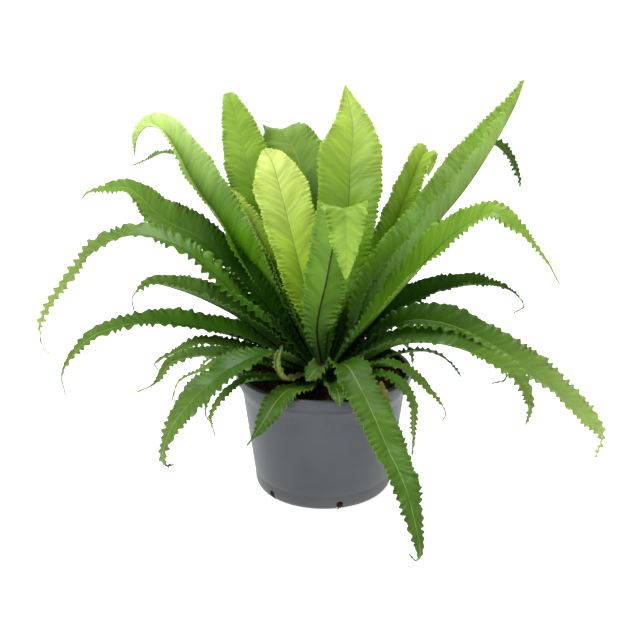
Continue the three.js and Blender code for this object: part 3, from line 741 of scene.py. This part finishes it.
def smooth_line(points, spacing):
    """Evenly spaced stations on the centripetal Catmull-Rom line through points, and
    how far along the line each one is."""
    points = np.vstack([2 * points[0] - points[1], points, 2 * points[-1] - points[-2]])
    parts = []
    for p0, p1, p2, p3 in zip(points, points[1:], points[2:], points[3:]):
        d0, d1, d2 = (np.sum((b - a) ** 2) ** 0.25 for a, b in ((p0, p1), (p1, p2), (p2, p3)))
        t1 = ((p1 - p0) / d0 - (p2 - p0) / (d0 + d1) + (p2 - p1) / d1) * d1
        t2 = ((p2 - p1) / d1 - (p3 - p1) / (d1 + d2) + (p3 - p2) / d2) * d1
        t = np.linspace(0, 1, 100, endpoint=False)[:, None]
        parts.append(p1 + t1 * t + (3 * (p2 - p1) - 2 * t1 - t2) * t**2
                     + (2 * (p1 - p2) + t1 + t2) * t**3)
    line = np.vstack([*parts, points[-2]])
    along = np.concatenate([[0], np.cumsum(np.linalg.norm(np.diff(line, axis=0), axis=1))])
    at = np.linspace(0, along[-1], int(along[-1] / spacing) + 1)
    return np.column_stack([np.interp(at, along, line[:, k]) for k in range(3)]), at


def smoothstep(t):
    """A soft step from 0 to 1."""
    t = np.clip(t, 0, 1)
    return t * t * (3 - 2 * t)


def half_width(frond, share):
    """Half the width of the flat blade, at shares 0 to 1 of its length. The tip may end
    in a tail as thin as a thread."""
    start, end = frond["full"]
    blunt, thin = frond.get("taper", (1.6, 1))
    widening = STALK_WIDTH + (frond["width"] - STALK_WIDTH) * smoothstep(share / start)
    t = np.clip((share - end) / (1 - end - frond.get("tail", 0)), 0, 1)
    tip = frond.get("tip", TIP_WIDTH)
    narrowing = tip + (frond["width"] - tip) * (1 - t**blunt) ** thin
    return np.where(share < start, widening, narrowing) / 2


middle_width = 2 * half_width(FRONDS[0], np.array([0.5]))[0]
print(FRONDS[0]["name"], "is", round(middle_width), "mm wide at half its length")

# %% [markdown]
# ## Waves that never repeat
#
# The margins are crimped because they grew longer than the midrib, and they buckle into
# ruffles 5 to 12 mm apart. No two ruffles are alike. A plain sine wave would look like
# a machine made it. So the wave's pitch and height wander, and a seeded random generator
# for each frond gives the same leaf in every run.

# %% Wandering lines and crimped waves
def wander(at, pitch, chance):
    """A smooth random line between -1 and 1 with a new value every pitch."""
    at = at - at.min()
    knots = chance.uniform(-1, 1, int(at.max() / pitch) + 3)
    low = (at / pitch).astype(int)
    t = smoothstep(at / pitch - low)
    return knots[low] * (1 - t) + knots[low + 1] * t


def crimp(along, pitch, chance):
    """A wave of about this pitch along a leaf, read at the places in along."""
    grid = np.arange(along.min() - pitch, along.max() + pitch, pitch / 20)
    turn = 2 * np.pi * (grid / pitch + 0.55 * wander(grid, 1.7 * pitch, chance))
    wave = np.sin(turn) * (0.85 + 0.45 * wander(grid, 2.3 * pitch, chance))
    wave += 0.45 * wander(grid, 0.45 * pitch, chance)
    return np.interp(along, grid, wave)


# %% [markdown]
# ## From midrib to blade
#
# At each station the blade leaves the midrib at an angle, like a shallow gutter, and
# flattens towards its margin. Side veins run slantwise, and the blade puckers softly
# between them. The puckers grow into the ruffles at the margin. The blade is a closed
# body half a millimetre thick, with a rib that stands out above and a keel below. Two
# UV maps go with it, one in millimetres across and along, and one as shares from midrib
# to margin and from stalk to tip, so that a material can draw veins where they grow.

# %% Sweep one blade
COLUMNS = np.array((0.22, 0.45, 0.64, 0.8, 0.92, 1.0))  # shares of the way to the margin
VEIN_SLANT = 0.8  # how far a side vein runs forwards while it goes out by one
BLADE_HALF_THICK = 0.25
RIB_UP, RIB_DOWN = 0.35, 1.3  # how far the midrib stands out of the blade at the stalk
ROLL_WANDER, FOLD_WANDER = 6, 5  # degrees


def blade_surface(frond, chance, spacing):
    """The blade's middle surface as rows of points, with what the mesh needs besides."""
    turn = math.radians(frond["heading"])
    arc = np.array([arc_point(point, frond["heading"]) for point in frond["arc"]])
    heart = np.array((0.0, 0.0, SOIL_LEVEL))
    outwards = (arc[0] - heart) / np.linalg.norm(arc[0] - heart)
    root = heart + outwards * ROOT_REACH
    centre, at = smooth_line(np.vstack([root, arc]), spacing)
    share = at / at[-1]
    tangent = np.gradient(centre, axis=0)
    tangent /= np.linalg.norm(tangent, axis=1)[:, None]
    across = np.array((-math.sin(turn), math.cos(turn), 0.0))
    side = across - tangent * (tangent @ across)[:, None]
    side /= np.linalg.norm(side, axis=1)[:, None]
    up = np.cross(tangent, side)
    low_roll, high_roll = frond.get("roll", (0, 0))
    roll = np.radians(low_roll + (high_roll - low_roll) * share
                      + ROLL_WANDER * wander(at, 60, chance))
    side, up = (side * np.cos(roll)[:, None] + up * np.sin(roll)[:, None],
                up * np.cos(roll)[:, None] - side * np.sin(roll)[:, None])

    full = half_width(frond, share)
    pitch, height = frond.get("crisp", (11, 3))
    rib = np.minimum(1.7 - 1.1 * share, 0.3 * full)
    # ruffles begin near the stalk and take up to 45 mm to reach their full height
    grown = smoothstep((at - 0.12 * min(at[-1], 100)) / min(45, 0.35 * at[-1]))
    low_fold, high_fold = frond.get("fold", (35, 20))
    fold = np.radians(low_fold + (high_fold - low_fold) * share
                      + FOLD_WANDER * wander(at, 45, chance))
    sides = []
    for sign in (1, -1):
        half = full * (1 + 0.06 * wander(at, 30, chance))
        # the outline: rounded lobes of uneven depth
        lobe = np.sin(np.pi * (at / (0.8 * pitch) + 0.6 * wander(at, 1.7 * pitch, chance)))
        lobe = np.abs(lobe) ** 0.7 - 0.6 + 0.35 * wander(at, 0.4 * pitch, chance)
        depth = frond.get("frill", 1.6) * (1 + 0.85 * wander(at, 1.3 * pitch, chance))
        half = half + grown * np.minimum(depth, 0.2 * half) * lobe
        out = np.column_stack([0 * half, rib, 1.8 * rib,
                               *[1.8 * rib + (half - 1.8 * rib) * c for c in COLUMNS]])
        edge = out / half[:, None]
        # the gutter: steeper at the rib than at the margin
        angle = fold[:, None] * (1.2 - 0.4 * edge)
        step = np.diff(out, axis=1)
        middle = (angle[:, 1:] + angle[:, :-1]) / 2
        x = np.column_stack([0 * half, np.cumsum(step * np.cos(middle), axis=1)])
        y = np.column_stack([0 * half, np.cumsum(step * np.sin(middle), axis=1)])
        vein = at[:, None] - VEIN_SLANT * out * (1 - 0.35 * edge)
        tall = np.minimum(height, 0.6 * half)[:, None] * grown[:, None]
        wave = crimp(vein, pitch, chance)
        drift = 0.9 * wander(vein, 3.3 * pitch, chance)
        # the ruffles stay near the margin, and a slow drift reaches further in
        ruffle = tall * (edge**3.6 * wave + edge**1.8 * drift)
        # the swells between rib and margin are longer on a broad blade
        swell = frond.get("bulge", 0.6) * (grown * np.minimum(1, half / 14))[:, None]
        swell = swell * np.sin(np.pi * np.clip(edge, 0, 1) ** 0.8)
        lift = ruffle + swell * wander(vein, 22 if full.max() > 30 else 15, chance)
        x = sign * (x - lift * np.sin(angle))
        y = y + lift * np.cos(angle)
        sides.append((centre[:, None] + side[:, None] * x[..., None] + up[:, None] * y[..., None],
                      sign * out, edge))
    left, right = sides
    rows = np.concatenate([left[0][:, :0:-1], right[0]], axis=1)
    out = np.concatenate([left[1][:, :0:-1], right[1]], axis=1)
    edge = np.concatenate([left[2][:, :0:-1], right[2]], axis=1)
    return rows, up, out, edge, at, share


def sweep_blade(frond, finish, chance, spacing):
    """The closed blade with its rib and keel, its UV maps and its colours."""
    rows, up, out, edge, at, share = blade_surface(frond, chance, spacing)
    count, columns = out.shape
    along_step = np.gradient(rows, axis=0)
    across_step = np.gradient(rows, axis=1)
    normal = np.cross(across_step, along_step)
    normal /= np.maximum(np.linalg.norm(normal, axis=2), 1e-9)[..., None]
    normal *= np.sign(np.einsum("ijk,ik->ij", normal, up) + 1e-9)[..., None]
    middle = columns // 2
    above = np.full((count, columns), BLADE_HALF_THICK)
    below = above.copy()
    above[:, middle] += RIB_UP * (1 - 0.5 * share)
    below[:, middle] += RIB_DOWN - 0.8 * share
    below[:, middle - 1 : middle + 2 : 2] += (0.5 - 0.35 * share)[:, None]
    top = rows + normal * above[..., None]
    bottom = rows - normal * below[..., None]

    points = np.concatenate([top.reshape(-1, 3), bottom.reshape(-1, 3)])
    index = np.arange(count * columns).reshape(count, columns)
    under = index + count * columns

    def quads(a, b, c, d):
        return np.stack([a, b, c, d], axis=-1).reshape(-1, 4)

    faces = np.concatenate([
        quads(index[:-1, :-1], index[1:, :-1], index[1:, 1:], index[:-1, 1:]),
        quads(under[:-1, :-1], under[:-1, 1:], under[1:, 1:], under[1:, :-1]),
        quads(index[:-1, 0], under[:-1, 0], under[1:, 0], index[1:, 0]),
        quads(index[1:, -1], under[1:, -1], under[:-1, -1], index[:-1, -1]),
        quads(index[0, :-1], index[0, 1:], under[0, 1:], under[0, :-1]),
        quads(index[-1, 1:], index[-1, :-1], under[-1, :-1], under[-1, 1:]),
    ])
    blade = make_object(frond["name"] + "_blade", points, faces.tolist(), finish)
    mesh = blade.data
    # both sides are smooth, and the thin rim round them is flat
    sides = 2 * (count - 1) * (columns - 1)
    mesh.polygons.foreach_set("use_smooth", np.arange(len(faces)) < sides)

    # each value is given once for every point of the upper side and once for the lower
    out, edge, at, share = (np.tile(np.broadcast_to(grid, (count, columns)).ravel(), 2)
                            for grid in (out, edge, at[:, None], share[:, None]))
    for map_name, u, v in (("blade_mm", out, at), ("blade_share", edge, share)):
        values = np.column_stack([u, v])[faces.ravel()].astype(np.float32).ravel()
        mesh.uv_layers.new(name=map_name).data.foreach_set("uv", values)
    underside = np.repeat((0.0, 1.0), count * columns)
    tone = leaf_tone(frond, edge, share, chance)
    for name, kind, field, values in (("underside", "FLOAT", "value", underside),
                                      ("leaf_tone", "FLOAT_COLOR", "color", tone)):
        layer = mesh.attributes.new(name, kind, "POINT")
        layer.data.foreach_set(field, values.astype(np.float32).ravel())
    mesh.validate()
    return blade


# %% [markdown]
# ## Leaf colours
#
# A young frond is yellow-green and thin; an old one is deep green. On every frond the
# colour runs from dark at the stalk to lighter at the tip. The dark stalk end is partly the
# frond's own colour and partly painted shade, where the fronds crowd at the crown. Each
# frond's own run of three colours is stored on its mesh, so that one leaf material can
# serve many fronds.

# %% Colour runs: stalk (with painted shade), middle and tip
# the stalk colours are darker than the leaf itself: painted shade between the crowded frond bases
LEAF_RUNS = {
    "lime": ("#4a8414", "#accf3c", "#d6e87c"),
    "fresh": ("#285a00", "#6c9c0c", "#bcd85c"),
    "bright": ("#184400", "#62980c", "#d4ec98"),
    "mid": ("#265800", "#66961a", "#9cc048"),
    "leaf": ("#224e00", "#4e7a14", "#a4be66"),
    "green": ("#2a5a04", "#567e22", "#4e7624"),
    "moss": ("#2a5208", "#568224", "#7c9a40"),
    "sea": ("#224e0c", "#4e7832", "#84a648"),
    "jade": ("#163a00", "#1a4200", "#7aa440"),
    "deep": ("#183c00", "#3f6c16", "#709040"),
    "dim": ("#122f00", "#264e04", "#385810"),
    "withered": ("#5a4a20", "#857836", "#8f8850"),
    "turning": ("#7c6c30", "#7f8434", "#5c8a26"),
}


def leaf_tone(frond, edge, share, chance):
    """Linear RGBA at each point: the frond's colour run, a little patchy, with painted shade at
    its stalk end and painted light towards its margin.
    """
    run = [np.array(linear(c)) for c in LEAF_RUNS[frond["run"]]]
    # towards the stalk the tone darkens, partly as painted shade at the crown
    low = smoothstep(share / 0.45)[:, None]
    high = smoothstep((share - 0.4) / 0.6)[:, None]
    tone = run[0] * (1 - low) + run[1] * low
    tone = tone * (1 - high) + run[2] * high
    # random unevenness, and up to 5% lighter towards the margin: painted light on the edge
    uneven_edge_lit = 1 + 0.08 * wander(share * 10, 1.0, chance) + 0.05 * edge
    tone[:, :3] *= uneven_edge_lit[:, None]
    tone[:, 3] = frond.get("rib", 1)  # 1 for a dark rib, 0 for a pale one
    return tone


# %% [markdown]
# ## Leaf surface
#
# The upper side has a waxy cuticle: a soft, broken gloss over a thin body that lets some
# light through. The underside is paler and duller, with a dark keel. Fine side veins run
# slantwise from the rib, about 2 mm apart. Noise that is stretched along that slant
# draws them better than ruled lines, because real veins fork and fade.

# %% Waxy leaf
def waxy_leaf(name, rough_wax, sheen, through):
    """Living leaf: the roughness and sheen of its wax, and the share of light that
    passes through it."""
    material, add = new_material(name)
    tone = add("Attribute", attribute_name="leaf_tone")
    under = add("Attribute", attribute_name="underside")
    blade = add("SeparateXYZ", {0: add("UVMap", uv_map="blade_mm")})
    part = add("SeparateXYZ", {0: add("UVMap", uv_map="blade_share")})
    out = add("Math", {0: blade.outputs["X"]}, operation="ABSOLUTE")
    along = add("Math", {0: out, 1: -VEIN_SLANT, 2: blade.outputs["Y"]}, operation="MULTIPLY_ADD")
    # side veins: 2.2 mm apart and about 30 mm long before they fade
    vein_place = add("CombineXYZ", {0: along, 1: blade.outputs["X"]})
    vein_map = add("Mapping", {"Vector": vein_place, "Scale": (1 / 2.2, 1 / 30, 1.0)})
    veins = add("TexNoise", {"Vector": vein_map, "Scale": 1.0, "Detail": 3.0, "Roughness": 0.55})
    # soft bands between the veins, 9 mm: they shape the bump, and in the colour they are a
    # painted sheen of broad light and dark streaks
    band_map = add("Mapping", {"Vector": vein_place, "Scale": (1 / 9, 1 / 40, 1.0)})
    bands = add("TexNoise", {"Vector": band_map, "Scale": 1.0, "Detail": 1.0})
    light = add("MapRange", {"Value": veins, "From Min": 0.3, "From Max": 0.7, "To Min": 0.93,
        "To Max": 1.06})
    # painted sheen: the bands make the colour up to 14% lighter or darker in broad streaks
    painted_sheen_streaks = add("MapRange", {"Value": bands, "From Min": 0.3, "From Max": 0.7, "To Min": 0.86,
        "To Max": 1.14})
    both = add("Math", {0: light, 1: painted_sheen_streaks}, operation="MULTIPLY")
    shaded = add("VectorMath", {0: tone.outputs["Color"], "Scale": both}, operation="SCALE")
    # the underside is paler and greyer
    pale_part = add("Math", {0: under.outputs["Fac"], 1: 0.15}, operation="MULTIPLY")
    sided = add("Mix", {"Factor": pale_part, 6: shaded, 7: linear("#7f9a5c")}, data_type="RGBA")
    # the midrib: nearly black at the stalk, then brown, then pale green
    rib_width = add("MapRange", {"Value": part.outputs["Y"], "To Min": 1.5, "To Max": 0.5})
    # a pale rib is also narrower
    rib_size = add("MapRange", {"Value": tone.outputs["Alpha"], "To Min": 0.5, "To Max": 1.0})
    rib_half = add("Math", {0: rib_width, 1: rib_size}, operation="MULTIPLY")
    inside = add("Math", {0: out, 1: rib_half}, operation="DIVIDE")
    rib_mask = add("MapRange", {"Value": inside, "From Min": 1.25, "From Max": 0.7, "To Min": 0.0,
        "To Max": 0.9}, interpolation_type="SMOOTHSTEP")
    rib_shift = add("Math", {0: under.outputs["Fac"], 1: -0.2, 2: part.outputs["Y"]},
        operation="MULTIPLY_ADD")
    rib_age = add("Math", {0: 1.0, 1: tone.outputs["Alpha"]}, operation="SUBTRACT")
    rib_place = add("Math", {0: rib_age, 1: 0.6, 2: rib_shift}, operation="MULTIPLY_ADD")
    rib_colour = set_ramp(add("ValToRGB", {0: rib_place}), [(0.0, "#140d08"), (0.3, "#2a2412"),
        (0.52, "#3f5f1c"), (0.8, "#8fb050")])
    ribbed = add("Mix", {"Factor": rib_mask, 6: sided.outputs[2], 7: rib_colour},
        data_type="RGBA")
    # the frilled margin is lighter: a painted highlight of light catching and shining
    # through the thin edge
    painted_margin_light = add("MapRange", {"Value": part.outputs["X"], "From Min": 0.85, "From Max": 1.0,
        "To Min": 1.0, "To Max": 1.18})
    margin_lit_tone = add("VectorMath", {0: ribbed.outputs[2], "Scale": painted_margin_light}, operation="SCALE")

    rough = add("MapRange", {"Value": veins, "From Min": 0.3, "From Max": 0.7,
        "To Min": rough_wax - 0.08, "To Max": rough_wax + 0.08})
    dull = add("Math", {0: under.outputs["Fac"], 1: 0.16, 2: rough}, operation="MULTIPLY_ADD")
    pores = add("TexNoise", {"Vector": add("TexCoord").outputs["Object"], "Scale": 1500.0,
        "Detail": 2.0})
    grain = add("Math", {0: pores, 1: 0.25, 2: veins}, operation="MULTIPLY_ADD")
    height = add("Math", {0: bands, 1: 3.6, 2: grain}, operation="MULTIPLY_ADD")
    bump = add("Bump", {"Height": height, "Strength": 0.5, "Distance": 0.0005})
    wax = add("BsdfPrincipled", {"Base Color": margin_lit_tone, "Roughness": dull, "Normal": bump,
        "IOR": 1.45, "Specular IOR Level": sheen})
    glow = add("HueSaturation", {"Color": margin_lit_tone, "Hue": 0.48, "Saturation": 1.1, "Value": 1.25})
    thin = add("BsdfTranslucent", {"Color": glow})
    surface = add("MixShader", {0: through, 1: wax, 2: thin})
    add("OutputMaterial", {"Surface": surface})
    return material


def parched_leaf(name):
    """Withered frond: dry, matt and creased, tan with brown blotches and a brown rib."""
    material, add = new_material(name)
    tone = add("Attribute", attribute_name="leaf_tone")
    blade = add("SeparateXYZ", {0: add("UVMap", uv_map="blade_mm")})
    place = add("TexCoord").outputs["Object"]
    blotch = add("TexNoise", {"Vector": place, "Scale": 120.0, "Detail": 4.0, "Roughness": 0.6})
    spots = add("MapRange", {"Value": blotch, "From Min": 0.5, "From Max": 0.64, "To Min": 0.0,
        "To Max": 0.55})
    stained = add("Mix", {"Factor": spots, 6: tone.outputs["Color"], 7: linear("#5f3d1c")},
        data_type="RGBA")
    out = add("Math", {0: blade.outputs["X"]}, operation="ABSOLUTE")
    rib_mask = add("MapRange", {"Value": out, "From Min": 1.8, "From Max": 0.9})
    ribbed = add("Mix", {"Factor": rib_mask, 6: stained.outputs[2], 7: linear("#4a2f16")},
        data_type="RGBA")
    crease = add("TexNoise", {"Vector": place, "Scale": 500.0, "Detail": 4.0})
    bump = add("Bump", {"Height": crease, "Strength": 0.7, "Distance": 0.0006})
    shader = add("BsdfPrincipled", {"Base Color": ribbed.outputs[2], "Normal": bump,
        "Roughness": 0.75})
    add("OutputMaterial", {"Surface": shader})
    return material


# %% Grow every frond
leaf_finish = {
    BRIGHT: ("bright_frond", waxy_leaf("young_waxy_leaf", 0.34, 0.36, 0.26)),
    MIDDLE: ("green_frond", waxy_leaf("grown_waxy_leaf", 0.35, 0.3, 0.2)),
    DARK: ("dark_frond", waxy_leaf("old_waxy_leaf", 0.46, 0.1, 0.12)),
    WITHERED: ("withered_frond", parched_leaf("parched_leaf")),
}
usual_run = {BRIGHT: "mid", MIDDLE: "leaf", DARK: "deep", WITHERED: "withered"}
triangles = 0
for number, frond in enumerate(FRONDS):
    frond.setdefault("run", usual_run[frond["tone"]])
    slot_name, finish = leaf_finish[frond["tone"]]
    # stations are closest for the finest ruffles, and widest where the camera can't see
    fine = "crisp" in frond and frond["crisp"][0] < 8
    spacing = 2.0 if "far" in frond["name"] else 1.1 if fine else 1.5
    blade = sweep_blade(frond, finish, np.random.default_rng(100 + number), spacing)
    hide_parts(frond["name"])
    triangles += 2 * len(blade.data.polygons)
print(triangles, "triangles in", len(FRONDS), "fronds")
